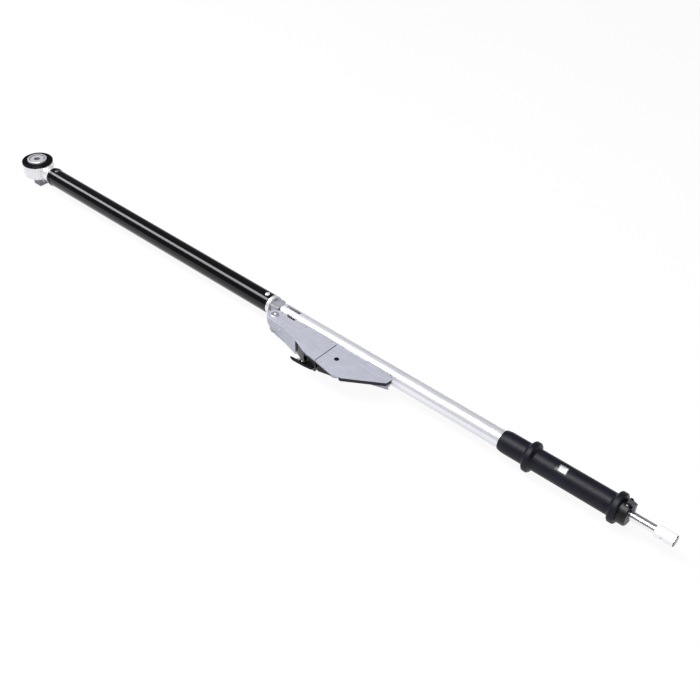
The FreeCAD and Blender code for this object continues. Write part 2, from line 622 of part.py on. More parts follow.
def end_parts():
    front, rear = END_CAP
    bore = SHANK_OUT_R + 0.3
    profile = [(bore, front), (END_CAP_R, front), (END_CAP_R, rear - 2.0)]
    profile += [(END_CAP_R - 2.0, rear), (bore, rear)]
    cap = turned(profile, "X")
    screws = []
    for y in (-9.5, 9.5):
        screw = cyl_x(1.5, 1310.0, rear - 1.0, y, 0)
        screw = screw.fuse(cyl_x(2.0, rear - 2.6, rear - 0.4, y, 0)).removeSplitter()
        screws.append(screw)
        cap = cap.cut(screw).cut(cyl_x(2.0, rear - 2.6, rear + 1.0, y, 0))
        PARTS["end_plug"] = PARTS["end_plug"].cut(screw)
    px, pz = LOCK_PIVOT
    cap = cap.cut(block((front - 1, -4.2, 14.2), (rear + 3, 4.2, 30)))
    for low, high in ((-7.0, -4.3), (4.3, 7.0)):
        cap = cap.fuse(cyl_y(px, pz, 3.2, low, high))
        cap = cap.fuse(block((px - 3.2, low, 14.0), (px + 3.2, high, pz)))
    add("end_cap", cap.removeSplitter().cut(cyl_y(px, pz, LOCK_PIN_R, -10, 10)))
    add("cap_screws", group(screws))
    add("lock_pin", cyl_y(px, pz, LOCK_PIN_R, -7.4, 7.4))
    lever = cyl_y(px, pz, 3.0, -4.0, 4.0)
    lever = lever.fuse(block((px - 1.0, -3.2, pz - 1.0), (px + 10.4, 3.2, pz + 2.6)))
    lever = lever.fuse(block((px + 7.8, -3.2, SHANK_OUT_R + 0.3), (px + 10.4, 3.2, pz + 2.0)))
    lever = lever.cut(cyl_x(SHANK_OUT_R + 0.3, 1300, 1380))
    lever = lever.cut(cyl_y(px, pz, LOCK_PIN_R + FIT, -10, 10))
    add("lock_lever", lever.removeSplitter())


def build():
    for make in (
        ratchet_head,
        cover_ring,
        ratchet_drive,
        release_parts,
        pawl_parts,
        front_lever,
        lever_tail,
        housing_plates,
        housing_inside,
        housing_screws,
        fulcrum_parts,
        crank_parts,
        spring_column,
        adjuster,
        thrust_bearing,
        rear_tube,
        grip,
        end_parts,
    ):
        make()
    os.makedirs("parts", exist_ok=True)
    for name, shape in PARTS.items():
        assert shape.isValid() and shape.Solids, name
        shape.exportStep(f"parts/{name}.step")


build()
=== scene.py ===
import bmesh
import bpy
import json
import math
from mathutils import Matrix, Vector


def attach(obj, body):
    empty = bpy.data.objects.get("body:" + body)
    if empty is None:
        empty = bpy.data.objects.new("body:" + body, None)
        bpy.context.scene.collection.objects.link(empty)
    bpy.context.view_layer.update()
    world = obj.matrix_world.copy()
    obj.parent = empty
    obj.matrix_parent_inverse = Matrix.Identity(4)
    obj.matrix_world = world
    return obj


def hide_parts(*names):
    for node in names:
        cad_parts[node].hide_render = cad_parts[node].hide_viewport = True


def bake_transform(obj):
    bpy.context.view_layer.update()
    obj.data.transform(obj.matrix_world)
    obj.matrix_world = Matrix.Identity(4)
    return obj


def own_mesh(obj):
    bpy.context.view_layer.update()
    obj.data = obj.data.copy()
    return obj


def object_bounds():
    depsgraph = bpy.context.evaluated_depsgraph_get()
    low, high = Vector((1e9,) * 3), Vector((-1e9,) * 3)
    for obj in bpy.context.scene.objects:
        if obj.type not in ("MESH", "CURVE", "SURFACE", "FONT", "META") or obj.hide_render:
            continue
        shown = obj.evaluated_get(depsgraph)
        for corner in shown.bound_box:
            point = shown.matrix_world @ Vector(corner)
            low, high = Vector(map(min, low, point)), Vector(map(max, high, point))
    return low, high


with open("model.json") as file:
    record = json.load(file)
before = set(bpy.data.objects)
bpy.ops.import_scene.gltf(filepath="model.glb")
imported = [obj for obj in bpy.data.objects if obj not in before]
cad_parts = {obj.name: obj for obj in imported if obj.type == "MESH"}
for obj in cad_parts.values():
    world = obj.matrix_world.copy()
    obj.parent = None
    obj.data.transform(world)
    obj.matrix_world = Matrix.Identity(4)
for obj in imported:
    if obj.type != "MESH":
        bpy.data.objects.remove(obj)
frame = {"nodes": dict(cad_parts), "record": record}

# The looks of a long breaking torque wrench, in the CAD model's frame: the drive axis is Z at X = 0, and
# the lever runs along +X. The wrench's own sizes and places are written in mm, and MM turns them into
# metres. The camera's, the floor's and the light's are in metres.

MM = 0.001
CAD_BOX = [list(corner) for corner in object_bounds()]
NODES = frame["nodes"]
RECORD = frame["record"]
BODY_OF = {node: body for body, members in RECORD["behaviour"]["bodies"].items() for node in members}
SLOT_OF = {part["node"]: part["material_slot"] for part in RECORD["subparts"]}


# ---------------------------------------------------------------- materials

class Finish:
    """A Principled material with a few named ways to add procedural detail."""

    def __init__(self, name, colour, roughness, metallic=0.0, specular=0.5, coat=0.0):
        self.material = bpy.data.materials.new(name)
        self.material.use_nodes = True
        self.tree = self.material.node_tree
        self.shader = self.tree.nodes["Principled BSDF"]
        self.set("Base Color", (*colour, 1.0))
        self.set("Roughness", roughness)
        self.set("Metallic", metallic)
        self.set("Specular IOR Level", specular)
        self.set("Coat Weight", coat)
        self.colour = colour
        self.roughness = roughness
        self.coordinates = self.node("ShaderNodeTexCoord").outputs["Object"]

    def set(self, socket, value):
        self.shader.inputs[socket].default_value = value

    def node(self, kind, **settings):
        """A new node, with those of its own properties set."""
        made = self.tree.nodes.new(kind)
        for key, value in settings.items():
            setattr(made, key, value)
        return made

    def link(self, source, target):
        self.tree.links.new(source, target)

    def noise(self, scale, stretch=(1, 1, 1), detail=3.0, rough=0.55):
        """Noise of that many cells per metre, stretched along an axis where stretch is under 1."""
        mapping = self.node("ShaderNodeMapping")
        mapping.inputs["Scale"].default_value = stretch
        self.link(self.coordinates, mapping.inputs["Vector"])
        made = self.node("ShaderNodeTexNoise")
        made.inputs["Scale"].default_value = scale
        made.inputs["Detail"].default_value = detail
        made.inputs["Roughness"].default_value = rough
        self.link(mapping.outputs["Vector"], made.inputs["Vector"])
        return made.outputs["Fac"]

    def remap(self, source, low, high, start=0.3, stop=0.7):
        """A value that goes from low to high while source goes from start to stop."""
        made = self.node("ShaderNodeMapRange")
        made.inputs["From Min"].default_value = start
        made.inputs["From Max"].default_value = stop
        made.inputs["To Min"].default_value = low
        made.inputs["To Max"].default_value = high
        self.link(source, made.inputs["Value"])
        return made.outputs["Result"]

    def vary_roughness(self, source, spread, start=0.3, stop=0.7):
        """The roughness, up to that much above or below its middle value as source changes."""
        low, high = self.roughness - spread, self.roughness + spread
        self.link(self.remap(source, low, high, start, stop), self.shader.inputs["Roughness"])

    def vary_colour(self, source, other, start=0.3, stop=0.7):
        """The base colour, going over to another colour where source is high."""
        mix = self.node("ShaderNodeMix", data_type="RGBA")
        mix.inputs["A"].default_value = (*self.colour, 1.0)
        existing = self.shader.inputs["Base Color"].links
        if existing:
            self.link(existing[0].from_socket, mix.inputs["A"])
        mix.inputs["B"].default_value = (*other, 1.0)
        self.link(self.remap(source, 0.0, 1.0, start, stop), mix.inputs["Factor"])
        self.link(mix.outputs["Result"], self.shader.inputs["Base Color"])

    def bump(self, source, height_mm):
        """Fine relief, that much higher where source is 1 than where it is 0."""
        made = self.node("ShaderNodeBump")
        made.inputs["Distance"].default_value = height_mm * MM
        self.link(source, made.inputs["Height"])
        self.link(made.outputs["Normal"], self.shader.inputs["Normal"])

    def edges(self, width_mm):
        """High within that distance of an edge, and low on flat and gently curved faces."""
        rounded = self.node("ShaderNodeBevel", samples=4)
        rounded.inputs["Radius"].default_value = width_mm * MM
        flat = self.node("ShaderNodeNewGeometry").outputs["Normal"]
        match = self.node("ShaderNodeVectorMath", operation="DOT_PRODUCT")
        self.link(rounded.outputs["Normal"], match.inputs[0])
        self.link(flat, match.inputs[1])
        return self.remap(match.outputs["Value"], 1.0, 0.0, 0.90, 0.995)

    def rings(self, scale):
        """Turning marks: noise that changes only with the distance from the Z axis."""
        flat = self.node("ShaderNodeVectorMath", operation="MULTIPLY")
        flat.inputs[1].default_value = (1.0, 1.0, 0.0)
        self.link(self.coordinates, flat.inputs[0])
        distance = self.node("ShaderNodeVectorMath", operation="LENGTH")
        self.link(flat.outputs["Vector"], distance.inputs[0])
        made = self.node("ShaderNodeTexNoise", noise_dimensions="1D")
        made.inputs["Scale"].default_value = scale
        self.link(distance.outputs["Value"], made.inputs["W"])
        return made.outputs["Fac"]

    def past(self, direction, place_mm, soft_mm):
        """High beyond a place along a direction, with a soft border of that half width."""
        along = self.node("ShaderNodeVectorMath", operation="DOT_PRODUCT")
        along.inputs[1].default_value = direction
        self.link(self.coordinates, along.inputs[0])
        start, stop = (place_mm - soft_mm) * MM, (place_mm + soft_mm) * MM
        return self.remap(along.outputs["Value"], 0.0, 1.0, start, stop)

    def either(self, *masks):
        """High where any of the masks is high."""
        total = masks[0]
        for mask in masks[1:]:
            larger = self.node("ShaderNodeMath", operation="MAXIMUM")
            self.link(total, larger.inputs[0])
            self.link(mask, larger.inputs[1])
            total = larger.outputs["Value"]
        return total


# Where finishes change, in mm along the lever; the tail's and the hexagon's places also start painted shade
# and a painted dark reflection.
ALONG = Vector((1.0, 0.0, 0.0))
RIVET_BRIGHT_FROM = 300.0
# The tail's black paint starts here. It is placed forward so that it also paints the shade under the top
# plate's relief.
TAIL_BLACK_AND_SHADE_FROM = 702.0
# From here back the hexagon carries a painted dark reflection.
HEX_DARK_REFLECTION_FROM = 1398.9

# The scale's window is turned from the top towards -Y. Its clear part, in mm along the lever and across it.
WINDOW_TURN = math.radians(11.0)
CLEAR_ALONG = (1218.5, 1231.5)
CLEAR_ACROSS = (-6.5, 4.0)

# The start and stop for a mask that already goes from 0 to 1.
WHOLE = (0.0, 1.0)


def black_enamel():
    """The gloss paint of the front tube, slightly uneven."""
    made = Finish("black_enamel", (0.0012, 0.0012, 0.0022), 0.13, specular=0.30, coat=0.10)
    made.set("Coat Roughness", 0.10)
    made.vary_roughness(made.noise(220, detail=5), 0.035)
    made.vary_colour(made.noise(14, detail=6, rough=0.7), (0.0024, 0.0024, 0.0036), 0.45, 0.8)
    made.bump(made.noise(420, detail=1), 0.010)
    return made


def black_oxide():
    """Blackened steel, worn paler at its edges."""
    made = Finish("black_oxide", (0.0010, 0.0010, 0.0018), 0.33, specular=0.10)
    made.vary_roughness(made.noise(350, detail=6), 0.10)
    made.vary_colour(made.noise(90, detail=6, rough=0.7), (0.0036, 0.0036, 0.0046), 0.45, 0.75)
    made.vary_colour(made.edges(0.5), (0.022, 0.022, 0.026))
    made.bump(made.noise(1500, detail=4), 0.02)
    return made


def chrome():
    """The rear tube's plating, softly streaked along its length."""
    made = Finish("chrome", (0.75, 0.75, 0.80), 0.30, metallic=0.60)
    made.vary_roughness(made.noise(260, stretch=(0.12, 1, 1), detail=6), 0.05)
    made.vary_colour(made.noise(20, detail=6, rough=0.7), (0.70, 0.70, 0.76), 0.45, 0.8)
    made.bump(made.noise(1800, stretch=(0.05, 1, 1), detail=3), 0.0012)
    return made


def polished(name):
    """Polished steel, with faint marks along its length."""
    made = Finish(name, (0.86, 0.86, 0.89), 0.17, metallic=0.92)
    made.vary_roughness(made.noise(260, detail=6), 0.04)
    made.vary_colour(made.noise(60, detail=6, rough=0.7), (0.76, 0.76, 0.80), 0.45, 0.8)
    made.bump(made.noise(1500, stretch=(0.1, 1, 1), detail=3), 0.0008)
    return made


def polished_steel():
    """Polished steel all over."""
    return polished("polished_steel")


def bright_hex():
    """Polished steel with a painted dark reflection on its rear end, for the adjuster's hexagon."""
    made = polished("bright_hex")
    # Painted dark reflection on the hexagon's rear end.
    made.vary_colour(made.past(ALONG, HEX_DARK_REFLECTION_FROM, 0.2), (0.06, 0.06, 0.07), *WHOLE)
    return made


def rivet_steel():
    """The tube rivets: the front one dull and the rear one bright."""
    made = Finish("rivet_steel", (0.12, 0.12, 0.13), 0.36, metallic=0.60)
    made.vary_roughness(made.noise(400, detail=4), 0.05)
    made.vary_colour(made.past(ALONG, RIVET_BRIGHT_FROM, 1.0), (0.74, 0.74, 0.77), *WHOLE)
    made.bump(made.noise(900, detail=3), 0.002)
    return made


def satin_steel():
    """The head's satin plating."""
    made = Finish("satin_steel", (0.74, 0.74, 0.77), 0.36, metallic=0.60)
    made.vary_roughness(made.noise(120, detail=2), 0.05)
    made.vary_colour(made.noise(40, detail=2), (0.64, 0.64, 0.67), 0.45, 0.8)
    made.bump(made.noise(700, stretch=(1, 1, 6), detail=2), 0.0008)
    return made


def turned_steel():
    """Steel with turning marks round the drive's axis."""
    made = Finish("turned_steel", (0.60, 0.60, 0.63), 0.36, metallic=0.55)
    made.vary_roughness(made.noise(120, detail=2), 0.05)
    made.vary_colour(made.rings(900), (0.44, 0.44, 0.47), 0.42, 0.72)
    made.bump(made.rings(2400), 0.004)
    return made


def plate_steel():
    """The housing's brushed plates, paler at their edges: partly worn bare metal, partly a painted highlight
    where light catches the edges.
    """
    made = Finish("plate_steel", (0.40, 0.41, 0.475), 0.48, metallic=0.38)
    made.vary_roughness(made.noise(500, stretch=(0.06, 1, 1), detail=5), 0.09)
    made.vary_colour(made.noise(60, detail=6, rough=0.65), (0.36, 0.37, 0.43), 0.35, 0.75)
    # Paler edges: partly wear, partly a painted highlight along the edges.
    made.vary_colour(made.edges(0.6), (0.52, 0.52, 0.58))
    made.bump(made.noise(1200, stretch=(0.04, 1, 1), detail=4), 0.003)
    return made


def forged_tail():
    """The lever's tail, bright in front and black inside the housing; the black is its paint, and it starts
    far enough forward to also paint the shade under the top plate's relief.
    """
    made = Finish("forged_tail", (0.40, 0.40, 0.44), 0.40, metallic=0.60)
    made.vary_roughness(made.noise(300, detail=6), 0.08)
    made.vary_colour(made.noise(120, detail=6, rough=0.7), (0.30, 0.30, 0.34), 0.45, 0.8)
    # Black from here back: the tail's own paint, and painted shade under the top plate's relief.
    black_and_shade = made.past(ALONG, TAIL_BLACK_AND_SHADE_FROM, 1.5)
    made.vary_colour(black_and_shade, (0.0035, 0.0035, 0.0045), *WHOLE)
    made.link(made.remap(black_and_shade, 0.60, 0.0, *WHOLE), made.shader.inputs["Metallic"])
    made.bump(made.noise(1300, detail=4), 0.012)
    return made


def grip_plastic():
    """The grip's matt plastic, with a fine grain."""
    made = Finish("grip_plastic", (0.0044, 0.0044, 0.0100), 0.46, specular=0.21)
    made.vary_roughness(made.noise(420, detail=5), 0.06)
    made.vary_colour(made.noise(45, detail=5), (0.0080, 0.0080, 0.0150), 0.4, 0.8)
    made.bump(made.noise(1700, detail=2), 0.03)
    return made


def black_plastic():
    """Moulded plastic, a little glossier than the grip."""
    made = Finish("black_plastic", (0.004, 0.004, 0.006), 0.40, specular=0.32)
    made.vary_roughness(made.noise(450, detail=5), 0.08)
    made.vary_colour(made.noise(60, detail=5), (0.007, 0.007, 0.010), 0.4, 0.8)
    made.bump(made.noise(2200, detail=3), 0.02)
    return made


def spring_steel():
    """Dark hardened steel."""
    made = Finish("spring_steel", (0.17, 0.17, 0.20), 0.34, metallic=0.8)
    made.vary_roughness(made.noise(600, detail=4), 0.1)
    made.vary_colour(made.noise(150, detail=6, rough=0.7), (0.10, 0.10, 0.12), 0.45, 0.8)
    made.bump(made.noise(2500, detail=3), 0.004)
    return made


def bronze():
    """Bearing bronze, for the rollers and bushes."""
    made = Finish("bronze", (0.52, 0.36, 0.16), 0.38, metallic=1.0)
    made.vary_colour(made.noise(900, detail=6), (0.30, 0.20, 0.10), 0.5, 0.75)
    made.bump(made.noise(3000, detail=3), 0.01)
    return made


def scale_white():
    """The white card that the scale is printed on."""
    made = Finish("scale_white", (0.88, 0.88, 0.87), 0.45)
    made.vary_colour(made.noise(120, detail=4), (0.82, 0.82, 0.80), 0.45, 0.8)
    made.bump(made.noise(2500, detail=2), 0.004)
    return made


def scale_ink():
    """The black printing of the scale."""
    made = Finish("scale_ink", (0.012, 0.012, 0.014), 0.55)
    made.vary_colour(made.noise(900, detail=4), (0.030, 0.030, 0.034), 0.45, 0.8)
    made.vary_roughness(made.noise(700, detail=4), 0.08)
    return made


def clear_lens():
    """The scale's window: clear in the middle, and printed black round its border."""
    made = Finish("clear_lens", (0.90, 0.93, 0.95), 0.24)
    made.vary_colour(made.noise(160, detail=4), (0.84, 0.88, 0.90), 0.45, 0.8)
    across = Vector((0.0, math.cos(WINDOW_TURN), math.sin(WINDOW_TURN)))
    border = made.either(
        made.past(-ALONG, -CLEAR_ALONG[0], 0.15),
        made.past(ALONG, CLEAR_ALONG[1], 0.15),
        made.past(-across, -CLEAR_ACROSS[0], 0.15),
        made.past(across, CLEAR_ACROSS[1], 0.15),
    )
    made.vary_roughness(border, 0.18, *WHOLE)
    made.vary_colour(border, (0.004, 0.004, 0.006), *WHOLE)
    made.link(made.remap(border, 0.20, 1.0, *WHOLE), made.shader.inputs["Alpha"])
    return made


def bearing_steel():
    """Ground bearing steel."""
    made = Finish("bearing_steel", (0.72, 0.72, 0.75), 0.20, metallic=0.85)
    made.vary_roughness(made.noise(700, detail=5), 0.05)
    made.vary_colour(made.noise(200, detail=6, rough=0.7), (0.60, 0.60, 0.64), 0.45, 0.8)
    made.bump(made.noise(2600, detail=3), 0.002)
    return made


MATERIALS = (
    black_enamel, black_oxide, chrome, polished_steel, bright_hex, rivet_steel, satin_steel, turned_steel,
    plate_steel, forged_tail, grip_plastic, black_plastic, spring_steel, bronze, scale_white, scale_ink,
    clear_lens, bearing_steel,
)
FINISHES = {material.__name__: material().material for material in MATERIALS}


# ---------------------------------------------------------------- mesh tools

# How many points a turned part's ring has.
SIDES = 48

# Faces that meet at a larger angle than this, in degrees, meet at a crisp edge.
SHARP_ABOVE = 30
EASED_ABOVE = SHARP_ABOVE - 2


def finish_of(node):
    """A node's own finish where it has one, and else the one its slot names."""
    return FINISHES[OWN_FINISH.get(node, SLOT_OF[node])]


def shape_of(node):
    """A copy of a CAD node's mesh, to work on."""
    bm = bmesh.new()
    bm.from_mesh(NODES[node].data)
    return bm


def piece_from(name, bm, material, body=None):
    """Makes a bmesh into a named piece, which rides on the body where one is given."""
    mesh = bpy.data.meshes.new(name)
    bm.to_mesh(mesh)
    bm.free()
    # Normals copied with a CAD mesh would shade the old shape.
    if "custom_normal" in mesh.attributes:
        mesh.attributes.remove(mesh.attributes["custom_normal"])
    mesh.shade_smooth()
    mesh.set_sharp_from_angle(angle=math.radians(SHARP_ABOVE))
    made = bpy.data.objects.new(name, mesh)
    bpy.context.scene.collection.objects.link(made)
    made.data.materials.append(material)
    if body:
        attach(made, body)
    return made


def stand_in(node, bm):
    """A piece built here that takes a CAD node's place."""
    made = piece_from(node + "_finished", bm, finish_of(node), BODY_OF[node])
    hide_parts(node)
    return made


def apply_modifiers(piece):
    """Fixes the result of a piece's modifiers in its mesh."""
    graph = bpy.context.evaluated_depsgraph_get()
    mesh = bpy.data.meshes.new_from_object(piece.evaluated_get(graph))
    piece.modifiers.clear()
    piece.data = mesh


def eased(node, width_mm):
    """A CAD node's own shape with its sharp edges rounded off, in its place."""
    bm = shape_of(node)
    bmesh.ops.remove_doubles(bm, verts=bm.verts, dist=1e-6)
    # Rejoins the triangles of flat faces, so that the bevel finds clean edges.
    bmesh.ops.dissolve_limit(
        bm, angle_limit=math.radians(0.4), use_dissolve_boundaries=False, verts=bm.verts, edges=bm.edges
    )
    made = stand_in(node, bm)
    # The bevel rounds the crisp edges, so they aren't marked sharp any more.
    made.data.shade_smooth()
    bevel = made.modifiers.new("bevel", "BEVEL")
    bevel.width = width_mm * MM
    bevel.segments = 2
    bevel.limit_method = "ANGLE"
    bevel.angle_limit = math.radians(EASED_ABOVE)
    bevel.harden_normals = True
    bevel.use_clamp_overlap = True
    made.modifiers.new("normals", "WEIGHTED_NORMAL").keep_sharp = True
    apply_modifiers(made)


def circle(radius, height):
    """A ring of points about Z, in millimetres."""
    turns = [2 * math.pi * i / SIDES for i in range(SIDES)]
    return [(radius * math.cos(turn), radius * math.sin(turn), height) for turn in turns]


def hexagon(across_flats, height):
    """A ring of points along a hexagon's edge, at the same angles as a circle's."""
    points = []
    for x, y, z in circle(1.0, height):
        turn = math.atan2(y, x)
        sector = (turn + math.pi / 6) % (math.pi / 3) - math.pi / 6
        radius = across_flats / 2 / math.cos(sector)
        points.append((radius * x, radius * y, z))
    return points


def circles(profile):
    """A ring for each radius and height, in millimetres."""
    return [circle(radius, height) for radius, height in profile]


def skin(bm, rings, origin=(0, 0, 0), axis=(0, 0, 1)):
    """Joins rings, given from the lowest up, into one closed solid standing on origin along axis."""
    turn = Vector(axis).to_track_quat("Z", "Y").to_matrix()
    rows = []
    for ring in rings:
        rows.append([bm.verts.new((Vector(origin) + turn @ Vector(point)) * MM) for point in ring])
    for lower, upper in zip(rows, rows[1:]):
        for i in range(SIDES):
            j = (i + 1) % SIDES
            bm.faces.new((lower[i], lower[j], upper[j], upper[i]))
    bm.faces.new(list(reversed(rows[0])))
    bm.faces.new(rows[-1])


def turned_piece(node, profile, origin=(0, 0, 0), axis=(0, 0, 1)):
    """A turned part with the same outline as its CAD node, but with fine radii."""
    bm = bmesh.new()
    skin(bm, circles(profile), origin, axis)
    stand_in(node, bm)


# ---------------------------------------------------------------- fasteners and pins

# The plates' outer faces are this far above and below the axis, and their screws' heads lie just under them.
PLATE_TOP = 15.5
SUNK = 0.3
THROUGH_LENGTH = 2 * PLATE_TOP - 0.7
SHORT_LENGTH = 9.1
PLATE_SCREWS = (
    (722.0, -41.9, THROUGH_LENGTH),
    (751.0, -19.7, THROUGH_LENGTH),
    (806.0, -19.7, THROUGH_LENGTH),
    (828.0, -66.0, SHORT_LENGTH),
    (878.0, -20.5, THROUGH_LENGTH),
    (912.0, -19.8, THROUGH_LENGTH),
)
WALL_SCREW_AT = (713.0, -45.2, 3.0)
CAP_SCREWS_X = 1331.6
CAP_SCREWS_Y = (-9.5, 9.5)
RIVETS_X = (64.0, 643.0)
FULCRUM_AT = (690.0, -31.0, 0.0)
CRANK_AT = (838.0, -45.0, 0.0)
LOCK_PIN_AT = (1326.0, 0.0, 20.0)
HEX_PIN_AT = (1382.0, 0.0, 0.0)


def socket_screw(shank, head, head_height, length, socket):
    """A cap screw's rings, from its radii and lengths, with its head's top at height 0."""
    rings = circles([
        (shank - 0.3, -length),
        (shank, -length + 0.3),
        (shank, -head_height),
        (head - 0.1, -head_height),
        (head, -head_height + 0.1),
        (head, -0.35),
        (head - 0.12, -0.12),
        (head - 0.40, 0.0),
        (socket / 1.6, 0.0),
    ])
    rings.append(hexagon(socket, -0.15))
    rings.append(hexagon(socket, -head_height * 0.6))
    return rings


def make_housing_screws():
    """Six screws down into the plates, and one into the side wall from the front."""
    bm = bmesh.new()
    for x, y, length in PLATE_SCREWS:
        screw = socket_screw(shank=1.6, head=2.6, head_height=1.5, length=length, socket=2.4)
        skin(bm, screw, (x, y, PLATE_TOP - SUNK))
    wall_screw = socket_screw(shank=1.6, head=2.6, head_height=1.4, length=4.7, socket=2.4)
    skin(bm, wall_screw, WALL_SCREW_AT, (0, -1, 0))
    stand_in("housing_screws", bm)


def make_cap_screws():
    """The two long screws that hold the end cap."""
    bm = bmesh.new()
    for y in CAP_SCREWS_Y:
        screw = socket_screw(shank=1.5, head=2.0, head_height=2.2, length=21.6, socket=1.8)
        skin(bm, screw, (CAP_SCREWS_X, y, 0.0), (1, 0, 0))
    stand_in("cap_screws", bm)


def make_rivets():
    """Rivets through the front tube, with a dome at each end."""
    dome = [(3.0, 16.2), (4.2, 16.3), (4.2, 16.9), (4.0, 17.5), (3.4, 17.95), (2.2, 18.28), (0.8, 18.39)]
    below = [(radius, -height) for radius, height in reversed(dome)]
    bm = bmesh.new()
    for x in RIVETS_X:
        skin(bm, circles(below + dome), (x, 0.0, 0.0))
    stand_in("tube_rivets", bm)


def make_fulcrum_pin():
    """The pin that the wrench breaks about, grooved for its clip and headed on top."""
    turned_piece("fulcrum_pin", [
        (4.4, -18.1), (5.0, -17.6), (5.0, -17.1), (4.1, -17.1), (4.1, -15.9), (5.0, -15.9), (5.0, 15.5),
        (6.5, 15.5), (6.6, 15.6), (6.6, 16.9), (6.45, 17.25), (6.0, 17.5), (1.7, 17.5), (0.3, 16.6),
    ], FULCRUM_AT)


def make_crank_pin():
    """The bell crank's pin, with a rounded end and a centre mark."""
    turned_piece("crank_pin", [
        (3.5, -16.0), (4.0, -15.5), (4.0, 15.7), (3.85, 15.98), (3.5, 16.1), (1.3, 16.1), (0.2, 15.4),
    ], CRANK_AT)


def make_cross_pin(node, radius, half_length, at):
    """A plain pin across the tube, with both ends rounded."""
    end = [(radius, half_length - 0.5), (radius - 0.12, half_length - 0.2), (radius - 0.5, half_length)]
    start = [(ring_radius, -height) for ring_radius, height in reversed(end)]
    turned_piece(node, start + end, at, (0, 1, 0))


def make_release_button():
    """The button in the hub, dished on top, on the grooved stem that lets the ball in."""
    turned_piece("release_button", [
        (3.95, -30.5), (4.95, -29.5), (4.95, -27.35), (3.8, -24.8), (3.8, -21.5), (4.95, -20.3),
        (4.95, 5.0), (3.2, 5.0), (3.2, 15.0), (5.9, 15.0), (6.1, 15.2), (6.1, 18.1), (5.98, 18.5),
        (5.65, 18.85), (5.2, 19.0), (4.4, 18.92), (3.4, 18.5), (1.8, 18.2), (0.4, 18.1),
    ])


# ---------------------------------------------------------------- adjuster and scale

# The adjuster screw, from its threaded front end to the tip inside the hexagon.
THREAD_LEAD = 4.0
THREAD_STEPS = 12
THREAD_DEPTH = 1.1
THREAD_R = 6.0
SCREW_FRONT = 1084.0
COLLAR_FROM, COLLAR_TO = 1268.0, 1276.0
COLLAR_R = 9.0
SHANK_R = 6.75
SHANK_TO = 1371.0
TIP_R = 5.0
TIP_TO = 1392.0


def thread_ring(radius, x):
    """One ring of a left-hand trapezoidal thread, whose ramp is 0 on its crest and 1 in its groove."""
    ring = []
    for i, (u, v, _) in enumerate(circle(1.0, 0.0)):
        phase = (x / THREAD_LEAD + i / SIDES) % 1.0
        ramp = min(1.0, max(0.0, 4.0 * abs(phase - 0.5) - 0.5))
        here = radius - THREAD_DEPTH * ramp
        ring.append((here * u, here * v, x))
    return ring


def make_adjuster():
    """The adjuster screw: thread, thrust collar, plain shank, and the tip inside the hexagon."""
    step = THREAD_LEAD / THREAD_STEPS
    count = int((COLLAR_FROM - 4.0 - SCREW_FRONT) / THREAD_LEAD * THREAD_STEPS)
    rings = [circle(4.4, SCREW_FRONT)]
    rings += [thread_ring(THREAD_R, SCREW_FRONT + 0.4 + i * step) for i in range(count)]
    rings += circles([
        (THREAD_R, COLLAR_FROM - 3.0),
        (THREAD_R, COLLAR_FROM),
        (COLLAR_R - 0.3, COLLAR_FROM),
        (COLLAR_R, COLLAR_FROM + 0.3),
        (COLLAR_R, COLLAR_TO - 0.3),
        (COLLAR_R - 0.3, COLLAR_TO),
        (SHANK_R, COLLAR_TO),
        (SHANK_R, SHANK_TO),
        (TIP_R, SHANK_TO),
        (TIP_R, TIP_TO - 0.6),
        (TIP_R - 0.6, TIP_TO),
    ])
    bm = bmesh.new()
    skin(bm, rings, axis=ALONG)
    stand_in("adjuster_screw", bm)


# The scale: its card's radius, how proud the ink stands, and where ticks and labels start across it.
CARD_R = 13.8
INK = 0.06
FIRST_TICK = 1202.0
TICK_STEP = 2.0
TICKS = 23
TICK_FOOT = -6.2
LONG_TICK = (-0.6, 0.7)
SHORT_TICK = (-3.4, 0.45)
TICK_SLICES = 6
LABEL_SIZE = 4.6
LABEL_BOLDER = 0.06
LABEL_FOOT = 0.6
LABEL_SLICE = 0.4
LABEL_SLICES = 8
FIRST_NUMBER, NUMBER_STEP = 200, 100


def on_card(x, across, radius):
    """A point on the scale, across it from its middle line towards +Y, in metres."""
    turn = WINDOW_TURN - across / CARD_R
    return Vector((x, -radius * math.sin(turn), radius * math.cos(turn))) * MM


def add_tick(bm, x, stop, width):
    """A raised line of ink across the scale, as far as stop and that wide."""
    rows = []
    for i in range(TICK_SLICES + 1):
        across = TICK_FOOT + (stop - TICK_FOOT) * i / TICK_SLICES
        corners = (
            (x - width / 2, CARD_R - INK),
            (x + width / 2, CARD_R - INK),
            (x + width / 2, CARD_R + INK),
            (x - width / 2, CARD_R + INK),
        )
        rows.append([bm.verts.new(on_card(at, across, radius)) for at, radius in corners])
    for one, two in zip(rows, rows[1:]):
        for i in range(4):
            bm.faces.new((one[i], one[(i + 1) % 4], two[(i + 1) % 4], two[i]))
    bm.faces.new(list(reversed(rows[0])))
    bm.faces.new(rows[-1])


def add_label(bm, x, text):
    """A plain number, cut into strips and wrapped round the scale."""
    data = bpy.data.curves.new("label", "FONT")
    data.body = text
    data.size = LABEL_SIZE
    data.offset = LABEL_BOLDER
    data.align_x = "CENTER"
    data.extrude = INK
    data.resolution_u = 3
    label = bpy.data.objects.new("label", data)
    bpy.context.scene.collection.objects.link(label)
    mesh = bpy.data.meshes.new_from_object(label)
    flat = bmesh.new()
    flat.from_mesh(mesh)
    for i in range(1, LABEL_SLICES):
        everything = flat.verts[:] + flat.edges[:] + flat.faces[:]
        cut_at = (0, LABEL_SLICE * i, 0)
        bmesh.ops.bisect_plane(flat, geom=everything, plane_co=cut_at, plane_no=(0, 1, 0))
    for vert in flat.verts:
        along, across, proud = vert.co
        vert.co = on_card(x + along, LABEL_FOOT + across, CARD_R + proud)
    flat.to_mesh(mesh)
    flat.free()
    bm.from_mesh(mesh)
    bpy.data.objects.remove(label)
    bpy.data.curves.remove(data)
    bpy.data.meshes.remove(mesh)


